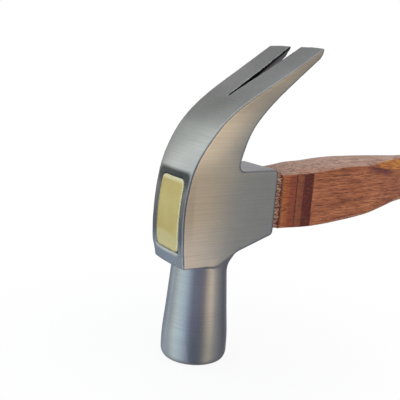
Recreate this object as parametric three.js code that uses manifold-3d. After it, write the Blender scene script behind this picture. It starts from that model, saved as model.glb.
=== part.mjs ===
// Claw hammer with a forged steel head on a hardwood handle. Units are millimetres.
// The origin is the centre of the striking face. +Z runs up the bell to the claws,
// +X runs along the handle to the butt, and the head is symmetric about Y = 0.

import * as THREE from 'three';
import { mergeVertices } from 'three/addons/utils/BufferGeometryUtils.js';
import Module from 'manifold-3d';

const wasm = await Module();
wasm.setup();

// Bell: the round striking end.
const FACE_RADIUS = 14.0;
const FACE_ROUND_WIDTH = 2.0;
const FACE_ROUND_HEIGHT = 3.2;
const FACE_ROUND_STEPS = 4;
const BELL_BARREL_HEIGHT = 8.0;
const NECK_RADIUS = 11.6;
const NECK_HEIGHT = 41.0;
const NECK_FLARE_RADIUS = 8.0;
const NECK_FLARE_ANGLE = 1.0;
const NECK_FLARE_STEPS = 5;
const FLARE_SINK = 0.4;
const BELL_SEGMENTS = 72;

// Side view of the forging: front wall and outer face of the claws, then their underside, as [x, z].
const HEAD_HEIGHT = 131.8;
const FRONT_EDGE = [[-15.2, 42.6], [-16.26, 50], [-16.7, 58], [-16.45, 68], [-14.54, 80],
  [-10.45, 90], [-3.55, 100], [8.1, 110], [23.6, 120], [41.5, HEAD_HEIGHT]];
const CLAW_UNDERSIDE = [[40.7, 128.1], [36.8, 124.9], [25.7, 115], [16.4, 105], [10.2, 95], [8.3, 86]];
const CLAW_ROOT_ROUNDING = 3.0;

// Body and collar below the claws.
const COLLAR_TOP = 81.2;
const COLLAR_END_X = 28.75;
const CLAW_ROOT = new THREE.Vector2(7.9, COLLAR_TOP);
const CLAW_ROOT_END = new THREE.Vector2(12, COLLAR_TOP);
const COLLAR_LOW_CORNER = new THREE.Vector2(COLLAR_END_X, 53.3);
const UNDERSIDE_BEND = new THREE.Vector2(11, 47.6);
const UNDERSIDE_LOW = new THREE.Vector2(1, 42.4);
const UNDERSIDE_ROUNDING = 5.0;
const COLLAR_START_X = -6.0;
const COLLAR_TAPER_X = 8.0;
const COLLAR_TOP_ROUNDING = 1.6;
const COLLAR_SIDE_ROUNDING = 1.35;
const COLLAR_LOW_ROUNDING = 2.2;
const VIEW_REACH = 60.0;

// Half widths: [z, half width] up the head, then the cheeks and the end of the collar.
const HEAD_HALF_WIDTHS = [[40, 11.8], [47, 12.05], [56, 12.2], [68, 12.0], [80, 12.35], [90, 13.3],
  [100, 14.3], [110, 15.6], [120, 17.0], [126, 17.5], [HEAD_HEIGHT, 17.6]];
const CHEEK_HALF_WIDTH = 12.7;
const COLLAR_HALF_WIDTH = 12.0;

// Nail slot between the claws.
const SLOT_APEX = new THREE.Vector2(8.2, 110.5);
const SLOT_TIP_HALF_GAP = 3.5;
const SLOT_OVERSHOOT = 1.25;
const SLOT_DEPTH = 30.0;

// Eye: a tapered rectangular hole right through the body along X, bevelled at the front.
const EYE_FRONT = { x: -17.0, halfWidth: 8.2, bottom: 48.4, top: 78.0 };
const EYE_BACK = { x: 30.0, halfWidth: 9.8, bottom: 56.2, top: 78.7 };
const EYE_CORNER = 3.0;
const BEZEL_DEPTH = 0.6;
const BEZEL_SIDE = 1.5;
const BEZEL_BOTTOM = 0.8;
const BEZEL_TOP = 2.8;
const BEZEL_SIDE_STEPS = 6;
const BEZEL_REACH = 4.0;

// Fit of the pieces held in the eye.
const FIT_GAP = 0.25;
const RESIN_RECESS = 1.1;
const TENON_END_X = -9.6;
const TENON_ROOT_X = 38.0;
const TENON_ROOT_INSET = 2.0;

// Wedges: one wooden wedge along the eye, two steel wedges across it.
const KERF_END_X = 15.0;
const KERF_MOUTH_HALF = 1.9;
const KERF_END_HALF = 0.6;
const WOOD_WEDGE_END_X = 13.5;
const WOOD_WEDGE_INSET = 1.0;
const STEEL_WEDGE_LENGTH = 15.0;
const STEEL_WEDGE_WIDTH = 12.0;
const STEEL_WEDGE_HALF_HEAD = 1.2;
const STEEL_WEDGE_HALF_TIP = 0.3;
const STEEL_WEDGE_HEIGHTS = { upper: 68.0, lower: 56.0 };

// Handle: lines, half width, corner chamfers and crown of the top as [x, value] along X.
const SHOULDER_X = 29.2;
const SHOULDER_INSET = 0.8;
const SHOULDER_FULL_X = 33.0;
const BUTT_X = 314.0;
const BUTT_ROUNDING = 7.0;
const BUTT_ROUNDING_ANGLE = 1.2;
const BUTT_STEPS = 4;
const HANDLE_TOP = [[33, 78.5], [51, 78.75], [69, 80.05], [88, 80.9], [97, 81.5], [106, 82.6],
  [128, 82.6], [170, 82], [225, 82.5], [275, 85], [314, 88]];
const HANDLE_BOTTOM = [[33, 55.2], [51, 55.1], [61, 56.1], [71, 57.3], [85.7, 58.7], [96, 60.5],
  [107, 61.9], [118, 62.5], [130, 62.5], [150, 61.2], [170, 59.2], [225, 54], [275, 55],
  [300, 56.5], [314, 57]];
const HANDLE_HALF_WIDTH = [[33, 10], [60, 10], [95, 9.4], [128, 8.7], [170, 10.4], [225, 12.2],
  [275, 12.4], [314, 13.6]];
const TOP_CHAMFER = [[33, 0.5], [86, 0.5], [97, 2.6], [106, 4.2], [128, 5], [170, 6.2],
  [225, 7.2], [275, 7.4], [314, 7.8]];
const BOTTOM_CHAMFER = [[33, 0.5], [97, 0.6], [110, 3.4], [128, 5], [170, 6.2], [225, 7.2],
  [275, 7.4], [314, 7.8]];
const TOP_CROWN = [[33, 1.4], [43, 3.4], [51, 3.7], [69, 3.6], [88, 3.1], [97, 2.4], [106, 1.1],
  [128, 1.2], [314, 1.4]];
const BOTTOM_CROWN = 0.3;
const HANDLE_STATIONS = 46;

// ---------------------------------------------------------------- helpers

/** Position-only copy of a geometry with its shared vertices merged. */
function weld(geometry) {
  const bare = geometry.clone();
  bare.deleteAttribute('normal');
  bare.deleteAttribute('uv');
  return mergeVertices(bare, 1e-4);
}

function toSolid(geometry) {
  const welded = weld(geometry);
  const vertProperties = new Float32Array(welded.attributes.position.array);
  const triVerts = new Uint32Array(welded.index.array);
  return new wasm.Manifold(new wasm.Mesh({ numProp: 3, vertProperties, triVerts }));
}

function toGeometry(solid) {
  const mesh = solid.getMesh();
  const geometry = new THREE.BufferGeometry();
  geometry.setAttribute('position', new THREE.BufferAttribute(mesh.vertProperties, 3));
  geometry.setIndex(new THREE.BufferAttribute(mesh.triVerts, 1));
  geometry.computeVertexNormals();
  return geometry;
}

/** Extrudes an outline drawn in (X, Z) symmetrically about Y = 0. */
function extrudeSideView(shape, halfWidth, curveSegments = 8) {
  const depth = 2 * halfWidth;
  const geometry = new THREE.ExtrudeGeometry(shape, { depth, curveSegments, bevelEnabled: false });
  geometry.rotateX(Math.PI / 2);
  geometry.translate(0, halfWidth, 0);
  return geometry;
}

/** Extrudes an outline drawn in (Y, Z) from x0 to x1. */
function extrudeFrontView(shape, x0, x1, curveSegments = 8) {
  const depth = x1 - x0;
  const geometry = new THREE.ExtrudeGeometry(shape, { depth, curveSegments, bevelEnabled: false });
  const yAxis = new THREE.Vector3(0, 1, 0);
  const zAxis = new THREE.Vector3(0, 0, 1);
  const xAxis = new THREE.Vector3(1, 0, 0);
  geometry.applyMatrix4(new THREE.Matrix4().makeBasis(yAxis, zAxis, xAxis));
  geometry.translate(x0, 0, 0);
  return geometry;
}

/** Extrudes an outline drawn in (X, Y) from z0 to z1. */
function extrudePlanView(shape, z0, z1, curveSegments = 8) {
  const depth = z1 - z0;
  const geometry = new THREE.ExtrudeGeometry(shape, { depth, curveSegments, bevelEnabled: false });
  geometry.translate(0, 0, z0);
  return geometry;
}

/**
 * Lofts rings of equal point count along X. An extruded regular polygon gives the
 * topology, and each of its vertices then moves to ring[i] of its station.
 */
function loftAlongX(stations, rings) {
  const count = rings[0].length;
  const polygon = new THREE.Shape();
  for (let i = 0; i < count; i += 1) {
    const angle = (2 * Math.PI * i) / count;
    const step = [Math.cos(angle), Math.sin(angle)];
    if (i === 0) polygon.moveTo(...step);
    else polygon.lineTo(...step);
  }
  const steps = stations.length - 1;
  const geometry = new THREE.ExtrudeGeometry(polygon, { depth: steps, steps, bevelEnabled: false });
  const position = geometry.attributes.position;
  for (let v = 0; v < position.count; v += 1) {
    const angle = Math.atan2(position.getY(v), position.getX(v));
    const i = (Math.round((angle * count) / (2 * Math.PI)) + count) % count;
    const s = Math.round(position.getZ(v));
    const [y, z] = rings[s][i];
    position.setXYZ(v, stations[s], y, z);
  }
  return geometry;
}

/** Value at x on a smooth curve through [x, value] pairs. */
function valueOn(pairs, x) {
  if (x <= pairs[0][0]) return pairs[0][1];
  const last = pairs.length - 1;
  if (x >= pairs[last][0]) return pairs[last][1];
  const k = pairs.findIndex(([px]) => px > x) - 1;
  const slope = (i) => {
    const a = pairs[Math.max(i - 1, 0)];
    const b = pairs[Math.min(i + 1, last)];
    return (b[1] - a[1]) / (b[0] - a[0]);
  };
  const [x0, v0] = pairs[k];
  const [x1, v1] = pairs[k + 1];
  const span = x1 - x0;
  const t = (x - x0) / span;
  const rise = v1 - v0;
  const bend0 = slope(k) * span - rise;
  const bend1 = rise - slope(k + 1) * span;
  return v0 + t * rise + t * (1 - t) * ((1 - t) * bend0 + t * bend1);
}

/** Ring of a rounded rectangle, counter-clockwise in (Y, Z), with its straight sides divided. */
function roundedRectangle(halfWidth, bottom, top, radius, sideSteps = 1) {
  const cornerSteps = 5;
  const centres = [
    [halfWidth - radius, top - radius],
    [-halfWidth + radius, top - radius],
    [-halfWidth + radius, bottom + radius],
    [halfWidth - radius, bottom + radius],
  ];
  const ring = [];
  centres.forEach(([cy, cz], quadrant) => {
    for (let i = 0; i <= cornerSteps; i += 1) {
      const angle = (Math.PI / 2) * (quadrant + i / cornerSteps);
      ring.push([cy + radius * Math.cos(angle), cz + radius * Math.sin(angle)]);
    }
  });
  return ring.flatMap((start, i) => {
    const end = ring[(i + 1) % ring.length];
    const straight = i % (cornerSteps + 1) === cornerSteps;
    return dividedLine(start, end, straight ? sideSteps : 1);
  });
}

/** Points from start up to, but not at, end. */
function dividedLine(start, end, parts) {
  return Array.from({ length: parts }, (_, k) => {
    const share = k / parts;
    return start.map((value, axis) => THREE.MathUtils.lerp(value, end[axis], share));
  });
}

/** Points of an [a, b] table as vectors. */
function toVectors(table) {
  return table.map(([a, b]) => new THREE.Vector2(a, b));
}

/** Draws a straight line into a corner and a curve out of it that leaves towards `next`. */
function roundCorner(outline, corner, next, reach) {
  const from = outline.currentPoint;
  const enter = corner.clone().lerp(from, reach / corner.distanceTo(from));
  const leave = corner.clone().lerp(next, reach / corner.distanceTo(next));
  outline.lineTo(enter.x, enter.y);
  outline.quadraticCurveTo(corner.x, corner.y, leave.x, leave.y);
}

/** One measure of the tapered eye at x: 'halfWidth', 'bottom' or 'top'. */
function eyeAt(key, x) {
  const t = (x - EYE_FRONT.x) / (EYE_BACK.x - EYE_FRONT.x);
  return THREE.MathUtils.lerp(EYE_FRONT[key], EYE_BACK[key], t);
}

/** Section of the eye at x, pulled in by a clearance. */
function eyeSection(x, clearance = 0) {
  return roundedRectangle(
    eyeAt('halfWidth', x) - clearance,
    eyeAt('bottom', x) + clearance,
    eyeAt('top', x) - clearance,
    EYE_CORNER,
  );
}

/** Tapered plate: from halfA thick at xA to halfB at xB, [lo, hi] wide in the other direction. */
function taperedPlate(xA, halfA, xB, halfB, lo, hi) {
  const outline = new THREE.Shape();
  outline.moveTo(xA, -halfA);
  outline.lineTo(xB, -halfB);
  outline.lineTo(xB, halfB);
  outline.lineTo(xA, halfA);
  outline.closePath();
  return extrudePlanView(outline, lo, hi);
}

// ---------------------------------------------------------------- head

/** How far the end of the neck's flare rises at x to meet the sloping underside of the body. */
function flareLift(x, flareTop) {
  const run = COLLAR_LOW_CORNER.x - UNDERSIDE_BEND.x;
  const slope = (COLLAR_LOW_CORNER.y - UNDERSIDE_BEND.y) / run;
  const underside = UNDERSIDE_BEND.y + slope * (x - UNDERSIDE_BEND.x);
  return Math.max(0, underside + FLARE_SINK - flareTop);
}

/** Bell: a lathe about Z with a rounded striking edge and a flare under the body. */
function bell() {
  const profile = [new THREE.Vector2(0, 0)];
  for (let i = 0; i <= FACE_ROUND_STEPS; i += 1) {
    const angle = ((Math.PI / 2) * i) / FACE_ROUND_STEPS;
    const radius = FACE_RADIUS - FACE_ROUND_WIDTH * (1 - Math.sin(angle));
    profile.push(new THREE.Vector2(radius, FACE_ROUND_HEIGHT * (1 - Math.cos(angle))));
  }
  profile.push(new THREE.Vector2(FACE_RADIUS, BELL_BARREL_HEIGHT));
  for (let i = 0; i <= NECK_FLARE_STEPS; i += 1) {
    const angle = (NECK_FLARE_ANGLE * i) / NECK_FLARE_STEPS;
    const radius = NECK_RADIUS + NECK_FLARE_RADIUS * (1 - Math.cos(angle));
    profile.push(new THREE.Vector2(radius, NECK_HEIGHT + NECK_FLARE_RADIUS * Math.sin(angle)));
  }
  const flareTop = profile[profile.length - 1].y;
  profile.push(new THREE.Vector2(0, flareTop));
  const lathe = new THREE.LatheGeometry(profile, BELL_SEGMENTS);
  lathe.rotateX(Math.PI / 2);
  const position = lathe.attributes.position;
  for (let v = 0; v < position.count; v += 1) {
    const share = (position.getZ(v) - NECK_HEIGHT) / (flareTop - NECK_HEIGHT);
    const lift = Math.max(0, share) * flareLift(position.getX(v), flareTop);
    position.setZ(v, position.getZ(v) + lift);
  }
  return toSolid(lathe);
}

/** Side view of the front wall, the claws and the body in front of the collar. */
function clawSideView() {
  const [frontLow, ...front] = toVectors(FRONT_EDGE);
  const [tipBack, ...underside] = toVectors(CLAW_UNDERSIDE);
  const outline = new THREE.Shape();
  outline.moveTo(frontLow.x, frontLow.y);
  outline.splineThru(front);
  outline.lineTo(tipBack.x, tipBack.y);
  outline.splineThru(underside);
  roundCorner(outline, CLAW_ROOT, CLAW_ROOT_END, CLAW_ROOT_ROUNDING);
  outline.lineTo(CLAW_ROOT_END.x, CLAW_ROOT_END.y);
  outline.lineTo(CLAW_ROOT_END.x, UNDERSIDE_BEND.y + 1);
  outline.lineTo(UNDERSIDE_BEND.x, UNDERSIDE_BEND.y);
  roundCorner(outline, UNDERSIDE_LOW, frontLow, UNDERSIDE_ROUNDING);
  outline.closePath();
  return outline;
}

/** Side view of the collar behind the eye. */
function collarSideView() {
  const topEnd = new THREE.Vector2(COLLAR_END_X, COLLAR_TOP);
  const topStart = new THREE.Vector2(COLLAR_START_X, COLLAR_TOP);
  const outline = new THREE.Shape();
  outline.moveTo(COLLAR_START_X, UNDERSIDE_BEND.y + 1);
  outline.lineTo(UNDERSIDE_BEND.x, UNDERSIDE_BEND.y);
  roundCorner(outline, COLLAR_LOW_CORNER, topEnd, COLLAR_LOW_ROUNDING);
  roundCorner(outline, topEnd, topStart, COLLAR_TOP_ROUNDING);
  outline.lineTo(topStart.x, topStart.y);
  outline.closePath();
  return outline;
}

/** Front view shared by the body and the claws: half widths up the head. */
function headFrontView() {
  const side = (sign) => HEAD_HALF_WIDTHS.map(([z, y]) => new THREE.Vector2(sign * y, z));
  const [rightLow, ...right] = side(1);
  const [leftTop, ...left] = side(-1).reverse();
  const outline = new THREE.Shape();
  outline.moveTo(rightLow.x, rightLow.y);
  outline.splineThru(right);
  outline.lineTo(leftTop.x, leftTop.y);
  outline.splineThru(left);
  outline.closePath();
  return outline;
}

/** Plan view of the collar: cheeks taper a little towards the handle. */
function collarPlanView() {
  const left = new THREE.Vector2(COLLAR_END_X, -COLLAR_HALF_WIDTH);
  const right = new THREE.Vector2(COLLAR_END_X, COLLAR_HALF_WIDTH);
  const rightTaper = new THREE.Vector2(COLLAR_TAPER_X, CHEEK_HALF_WIDTH);
  const outline = new THREE.Shape();
  outline.moveTo(COLLAR_START_X, -CHEEK_HALF_WIDTH);
  outline.lineTo(COLLAR_TAPER_X, -CHEEK_HALF_WIDTH);
  roundCorner(outline, left, right, COLLAR_SIDE_ROUNDING);
  roundCorner(outline, right, rightTaper, COLLAR_SIDE_ROUNDING);
  outline.lineTo(rightTaper.x, rightTaper.y);
  outline.lineTo(COLLAR_START_X, CHEEK_HALF_WIDTH);
  outline.closePath();
  return outline;
}

/** Mouth of the eye, grown from the bore by a multiple of the bezel's width. */
function mouthRing(growth) {
  return roundedRectangle(
    EYE_FRONT.halfWidth + BEZEL_SIDE * growth,
    EYE_FRONT.bottom - BEZEL_BOTTOM * growth,
    EYE_FRONT.top + BEZEL_TOP * growth,
    EYE_CORNER,
    BEZEL_SIDE_STEPS,
  );
}

/** Bevel round the mouth of the eye that follows the curved front of the head. */
function bezelCut() {
  const frontByHeight = FRONT_EDGE.map(([x, z]) => [z, x]);
  const stations = [-BEZEL_REACH, -BEZEL_DEPTH, BEZEL_DEPTH];
  const bevel = loftAlongX(stations, [mouthRing(2), mouthRing(2), mouthRing(0)]);
  const position = bevel.attributes.position;
  for (let v = 0; v < position.count; v += 1) {
    position.setX(v, position.getX(v) + valueOn(frontByHeight, position.getZ(v)));
  }
  return toSolid(bevel);
}

/** Eye right through the body, with its bezel. */
function eyeCut() {
  const ends = [EYE_FRONT.x, EYE_BACK.x];
  const bore = loftAlongX(ends, ends.map((x) => eyeSection(x)));
  return toSolid(bore).add(bezelCut());
}

/** Nail slot: a V in the plane of the claws, cut through along their normal. */
function nailSlot() {
  const tip = toVectors(FRONT_EDGE).pop();
  const along = tip.sub(SLOT_APEX);
  const length = along.length() * SLOT_OVERSHOOT;
  const halfGap = SLOT_TIP_HALF_GAP * SLOT_OVERSHOOT;
  const triangle = new THREE.Shape();
  triangle.moveTo(0, 0);
  triangle.lineTo(length, -halfGap);
  triangle.lineTo(length, halfGap);
  triangle.closePath();
  const cut = extrudePlanView(triangle, -SLOT_DEPTH / 2, SLOT_DEPTH / 2);
  cut.rotateY(-along.angle());
  cut.translate(SLOT_APEX.x, 0, SLOT_APEX.y);
  return toSolid(cut);
}

/** The forging: side, front and plan views cut from one block, with the bell added. */
function hammerHead() {
  const frontView = toSolid(extrudeFrontView(headFrontView(), -VIEW_REACH, VIEW_REACH));
  const claws = toSolid(extrudeSideView(clawSideView(), VIEW_REACH));
  const collar = toSolid(extrudeSideView(collarSideView(), VIEW_REACH));
  const plan = toSolid(extrudePlanView(collarPlanView(), 0, HEAD_HEIGHT));
  const body = claws.add(collar.intersect(plan)).intersect(frontView);
  const flaredBell = bell().intersect(frontView.add(bellRoom()));
  const blank = body.add(flaredBell);
  return toGeometry(blank.subtract(eyeCut()).subtract(nailSlot()));
}

/** Room for the bell below the body, where the front view doesn't limit it. */
function bellRoom() {
  const below = 1;
  const room = new THREE.CylinderGeometry(VIEW_REACH, VIEW_REACH, UNDERSIDE_LOW.y + below);
  room.rotateX(Math.PI / 2);
  room.translate(0, 0, (UNDERSIDE_LOW.y - below) / 2);
  return toSolid(room);
}

// ---------------------------------------------------------------- handle

/** Section of the shaped wood at x: crowned top, nearly flat bottom, chamfered corners. */
function handleSection(x, shrink = 0) {
  const top = valueOn(HANDLE_TOP, x) - shrink;
  const bottom = valueOn(HANDLE_BOTTOM, x) + shrink;
  const half = valueOn(HANDLE_HALF_WIDTH, x) - shrink;
  const above = valueOn(TOP_CHAMFER, x);
  const below = valueOn(BOTTOM_CHAMFER, x);
  const crown = valueOn(TOP_CROWN, x);
  const shoulderRise = 0.75 * crown;
  const topHalf = half - above;
  const bottomHalf = half - below;
  const middle = (top + bottom) / 2;
  return [
    [half, middle],
    [half, top - above],
    [topHalf, top],
    [topHalf / 2, top + shoulderRise],
    [0, top + crown],
    [-topHalf / 2, top + shoulderRise],
    [-topHalf, top],
    [-half, top - above],
    [-half, middle],
    [-half, bottom + below],
    [-bottomHalf, bottom],
    [0, bottom - BOTTOM_CROWN],
    [bottomHalf, bottom],
    [half, bottom + below],
  ];
}

/** Shaped wood from the shoulder at the collar to the rounded butt. */
function shapedWood() {
  const stations = [SHOULDER_X];
  const rings = [handleSection(SHOULDER_FULL_X, SHOULDER_INSET)];
  const roundingStart = BUTT_X - BUTT_ROUNDING;
  for (let i = 0; i < HANDLE_STATIONS; i += 1) {
    const share = i / (HANDLE_STATIONS - 1);
    const x = THREE.MathUtils.lerp(SHOULDER_FULL_X, roundingStart, share);
    stations.push(x);
    rings.push(handleSection(x));
  }
  for (let i = 1; i <= BUTT_STEPS; i += 1) {
    const angle = (BUTT_ROUNDING_ANGLE * i) / BUTT_STEPS;
    const advance = Math.sin(angle) / Math.sin(BUTT_ROUNDING_ANGLE);
    stations.push(roundingStart + BUTT_ROUNDING * advance);
    rings.push(handleSection(roundingStart, BUTT_ROUNDING * (1 - Math.cos(angle))));
  }
  return toSolid(loftAlongX(stations, rings));
}

/** Tenon that fills the eye and runs on into the shaped wood. */
function tenon() {
  const shoulderX = SHOULDER_X + 0.1;
  const rings = [
    eyeSection(TENON_END_X, FIT_GAP),
    eyeSection(shoulderX, FIT_GAP),
    eyeSection(shoulderX, TENON_ROOT_INSET),
  ];
  return toSolid(loftAlongX([TENON_END_X, shoulderX, TENON_ROOT_X], rings));
}

/** Steel wedge driven across the eye at height z, grown all round by a clearance. */
function steelWedge(z, clearance = 0) {
  const half = STEEL_WEDGE_WIDTH / 2 + clearance;
  const plate = taperedPlate(
    TENON_END_X - clearance,
    STEEL_WEDGE_HALF_HEAD + clearance,
    TENON_END_X + STEEL_WEDGE_LENGTH + clearance,
    STEEL_WEDGE_HALF_TIP + clearance,
    -half,
    half,
  );
  plate.rotateX(Math.PI / 2);
  plate.translate(0, 0, z);
  return toSolid(plate);
}

/** Both slots that the steel wedges open in the wood. */
function steelWedgeSlots() {
  const { upper, lower } = STEEL_WEDGE_HEIGHTS;
  return steelWedge(upper, FIT_GAP).add(steelWedge(lower, FIT_GAP));
}

/** Saw kerf in the tenon, spread open at its mouth by the wooden wedge. */
function kerf() {
  const mouthX = TENON_END_X - 1;
  const bottom = EYE_FRONT.bottom - 1;
  const top = EYE_BACK.top + 1;
  return toSolid(taperedPlate(mouthX, KERF_MOUTH_HALF, KERF_END_X, KERF_END_HALF, bottom, top));
}

function handle() {
  const wood = shapedWood().add(tenon());
  return toGeometry(wood.subtract(kerf()).subtract(steelWedgeSlots()));
}

function woodenWedge() {
  const bottom = eyeAt('bottom', WOOD_WEDGE_END_X) + WOOD_WEDGE_INSET;
  const top = eyeAt('top', TENON_END_X) - WOOD_WEDGE_INSET;
  const plate = taperedPlate(
    TENON_END_X,
    KERF_MOUTH_HALF - FIT_GAP,
    WOOD_WEDGE_END_X,
    KERF_END_HALF - FIT_GAP / 2,
    bottom,
    top,
  );
  return toGeometry(toSolid(plate).subtract(steelWedgeSlots()));
}

// ---------------------------------------------------------------- resin

/** Poured plug that closes the front of the eye and follows the front of the head. */
function eyeResin() {
  const stations = [EYE_FRONT.x, TENON_END_X - FIT_GAP];
  const plug = toSolid(loftAlongX(stations, stations.map((x) => eyeSection(x, FIT_GAP))));
  const front = extrudeSideView(clawSideView(), EYE_FRONT.halfWidth);
  front.translate(RESIN_RECESS, 0, 0);
  return toGeometry(plug.intersect(toSolid(front)));
}

// ---------------------------------------------------------------- assembly

const steel = { roughness: 0.32, metalness: 1.0 };
const forgedSteel = new THREE.MeshStandardMaterial({ color: 0x9a9c9d, ...steel });
const wedgeSteel = new THREE.MeshStandardMaterial({ color: 0x8b8f93, ...steel, roughness: 0.45 });
const handleWood = new THREE.MeshStandardMaterial({ color: 0xa06440, roughness: 0.55, metalness: 0 });
const wedgeWood = new THREE.MeshStandardMaterial({ color: 0xc79a62, roughness: 0.7, metalness: 0 });
const resin = new THREE.MeshStandardMaterial({ color: 0xbcb174, roughness: 0.35, metalness: 0 });

function piece(name, geometry, material) {
  const mesh = new THREE.Mesh(geometry, material);
  mesh.name = name;
  return mesh;
}

const wedges = new THREE.Group();
wedges.add(
  piece('wooden_wedge', woodenWedge(), wedgeWood),
  piece('cross_wedge_upper', toGeometry(steelWedge(STEEL_WEDGE_HEIGHTS.upper)), wedgeSteel),
  piece('cross_wedge_lower', toGeometry(steelWedge(STEEL_WEDGE_HEIGHTS.lower)), wedgeSteel.clone()),
);

const hammer = new THREE.Group();
hammer.add(
  piece('hammer_head', hammerHead(), forgedSteel),
  piece('handle', handle(), handleWood),
  wedges,
  piece('eye_resin', eyeResin(), resin),
);

export default hammer;
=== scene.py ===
"""Claw hammer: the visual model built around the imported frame.

Lengths inside the modelling code are millimetres in the row frame: the origin is the centre
of the striking face, +Z runs to the claws and +X along the handle. Meshes are scaled to
metres when they are made.
"""
import math

import bpy
import numpy as np
from mathutils import Matrix, Vector


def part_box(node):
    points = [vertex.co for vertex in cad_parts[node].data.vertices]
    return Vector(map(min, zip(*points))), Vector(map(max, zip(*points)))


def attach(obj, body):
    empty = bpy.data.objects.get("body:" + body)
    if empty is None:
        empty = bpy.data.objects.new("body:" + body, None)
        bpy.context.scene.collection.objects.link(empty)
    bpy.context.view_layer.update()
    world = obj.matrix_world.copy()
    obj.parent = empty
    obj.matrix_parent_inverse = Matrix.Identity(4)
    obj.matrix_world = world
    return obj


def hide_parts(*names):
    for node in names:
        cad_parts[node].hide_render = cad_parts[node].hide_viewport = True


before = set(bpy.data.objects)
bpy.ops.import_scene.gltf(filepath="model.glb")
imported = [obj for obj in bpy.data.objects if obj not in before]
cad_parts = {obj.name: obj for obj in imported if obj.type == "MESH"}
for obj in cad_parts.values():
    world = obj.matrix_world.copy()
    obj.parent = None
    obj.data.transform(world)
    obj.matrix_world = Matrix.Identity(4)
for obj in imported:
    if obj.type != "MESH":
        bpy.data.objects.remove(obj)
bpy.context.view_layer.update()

MM = 0.001


def box_mm(node):
    """Lowest and highest corner of a CAD node in millimetres."""
    low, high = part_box(node)
    return np.array(low) / MM, np.array(high) / MM


HEAD_LOW, HEAD_HIGH = box_mm("hammer_head")
HANDLE_LOW, HANDLE_HIGH = box_mm("handle")
RESIN_BACK_X = box_mm("eye_resin")[1][0]

# ---------- head dimensions
FACE_RADIUS = 14.0
FACE_ROUND_WIDTH = 2.0
FACE_ROUND_HEIGHT = 3.3
BARREL_HEIGHT = 8.0
BELL_RADII = [(FACE_ROUND_HEIGHT, FACE_RADIUS), (BARREL_HEIGHT, FACE_RADIUS), (23.0, 12.9),
              (41.0, 11.6), (60.0, 10.6)]
NECK_TOP_FRONT, NECK_TOP_REAR = 44.5, 48.0
BODY_BOTTOM = 42.4
FRONT_BOTTOM = 43.7
COLLAR_TOP = 81.2
COLLAR_END = 28.75
COLLAR_HALF_WIDTH = 12.0
HEAD_TOP = HEAD_HIGH[2]
TIP_X = 41.5
TIP_LEAN = -0.8
TIP_THICKNESS = 3.7
CLAW_ZONE_BOTTOM = 110.0
OUTLINE_OVERRUN = 12.0
CLAW_CROWN = 0.35
FRONT_CROWN = 0.9
SLOT_APEX = np.array([8.2, 110.5])
SLOT_TIP_HALF_GAP = 3.2
SLOT_ROOT_RADIUS = 0.22
SLOT_BEVEL = 1.0
SLOT_EDGE_TIP, SLOT_EDGE_ROOT = 0.8, 3.2
EYE_FRONT_X, EYE_BACK_X = -17.0, 30.0
EYE_HALF_WIDTH = (8.2, 9.8)
EYE_BOTTOM = (48.4, 56.2)
EYE_TOP = (78.0, 78.7)
EYE_CORNER = 3.0
BEZEL_DEPTH = 0.6
FAR_INSIDE, FAR_OUTSIDE = -9.0, 9.0
OUTER_EDGE, BEZEL_EDGE, EYE_EDGE, SLOT_EDGE = 0.5, 0.5, 0.4, 0.45
SLOT_CUT_REACH = 15.0
GRID_STEP = 0.53


# ---------- curves
def catmull_rom(points, spacing=0.5):
    """Dense polyline on a uniform Catmull-Rom curve through the points."""
    p = np.asarray(points, float)
    p = np.vstack([2 * p[0] - p[1], p, 2 * p[-1] - p[-2]])
    out = []
    for i in range(1, len(p) - 2):
        a, b, c, d = p[i - 1:i + 3]
        count = max(2, int(np.linalg.norm(c - b) / spacing))
        t = np.linspace(0, 1, count, endpoint=False)[:, None]
        out.append(0.5 * (2 * b + (c - a) * t + (2 * a - 5 * b + 4 * c - d) * t ** 2
                          + (3 * b - a - 3 * c + d) * t ** 3))
    out.append(p[-2][None])
    return np.vstack(out)


def line(a, b, spacing=0.8):
    """Evenly spaced points from a to b, both included."""
    a, b = np.asarray(a, float), np.asarray(b, float)
    count = max(2, int(np.linalg.norm(b - a) / spacing) + 1)
    return a + (b - a) * np.linspace(0, 1, count)[:, None]


def beyond(points, near, length):
    """Point past one end of a curve, straight on from its point number `near`."""
    end = points[0] if near > 0 else points[-1]
    way = end - points[near]
    return end + way / np.linalg.norm(way) * length


def fillet(corner, before, after, radius, steps=8):
    """Arc that replaces the corner between the directions to two neighbouring points."""
    corner = np.asarray(corner, float)
    u = np.asarray(before, float) - corner
    v = np.asarray(after, float) - corner
    u /= np.linalg.norm(u)
    v /= np.linalg.norm(v)
    half = math.acos(np.clip(u @ v, -1, 1)) / 2
    reach = radius / math.tan(half)
    centre = corner + (u + v) / np.linalg.norm(u + v) * radius / math.sin(half)
    start, end = corner + u * reach - centre, corner + v * reach - centre
    turn = math.acos(np.clip(start @ end / radius ** 2, -1, 1))
    t = np.linspace(0, 1, steps)[:, None]
    return centre + (np.sin((1 - t) * turn) * start + np.sin(t * turn) * end) / math.sin(turn)


def smoothstep(low, high, x):
    """Smooth rise from 0 at low to 1 at high; low may be the larger one."""
    t = np.clip((x - low) / (high - low), 0, 1)
    return t * t * (3 - 2 * t)


def curve_value(pairs, x):
    """Smooth curve through (x, value) pairs, flat outside their ends."""
    px, pv = np.array(pairs, float).T
    slope = np.gradient(pv, px)
    k = np.clip(np.searchsorted(px, x) - 1, 0, len(px) - 2)
    span = px[k + 1] - px[k]
    t = np.clip((x - px[k]) / span, 0, 1)
    rise = pv[k + 1] - pv[k]
    bend0 = slope[k] * span - rise
    bend1 = rise - slope[k + 1] * span
    return pv[k] + t * rise + t * (1 - t) * ((1 - t) * bend0 + t * bend1)


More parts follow.
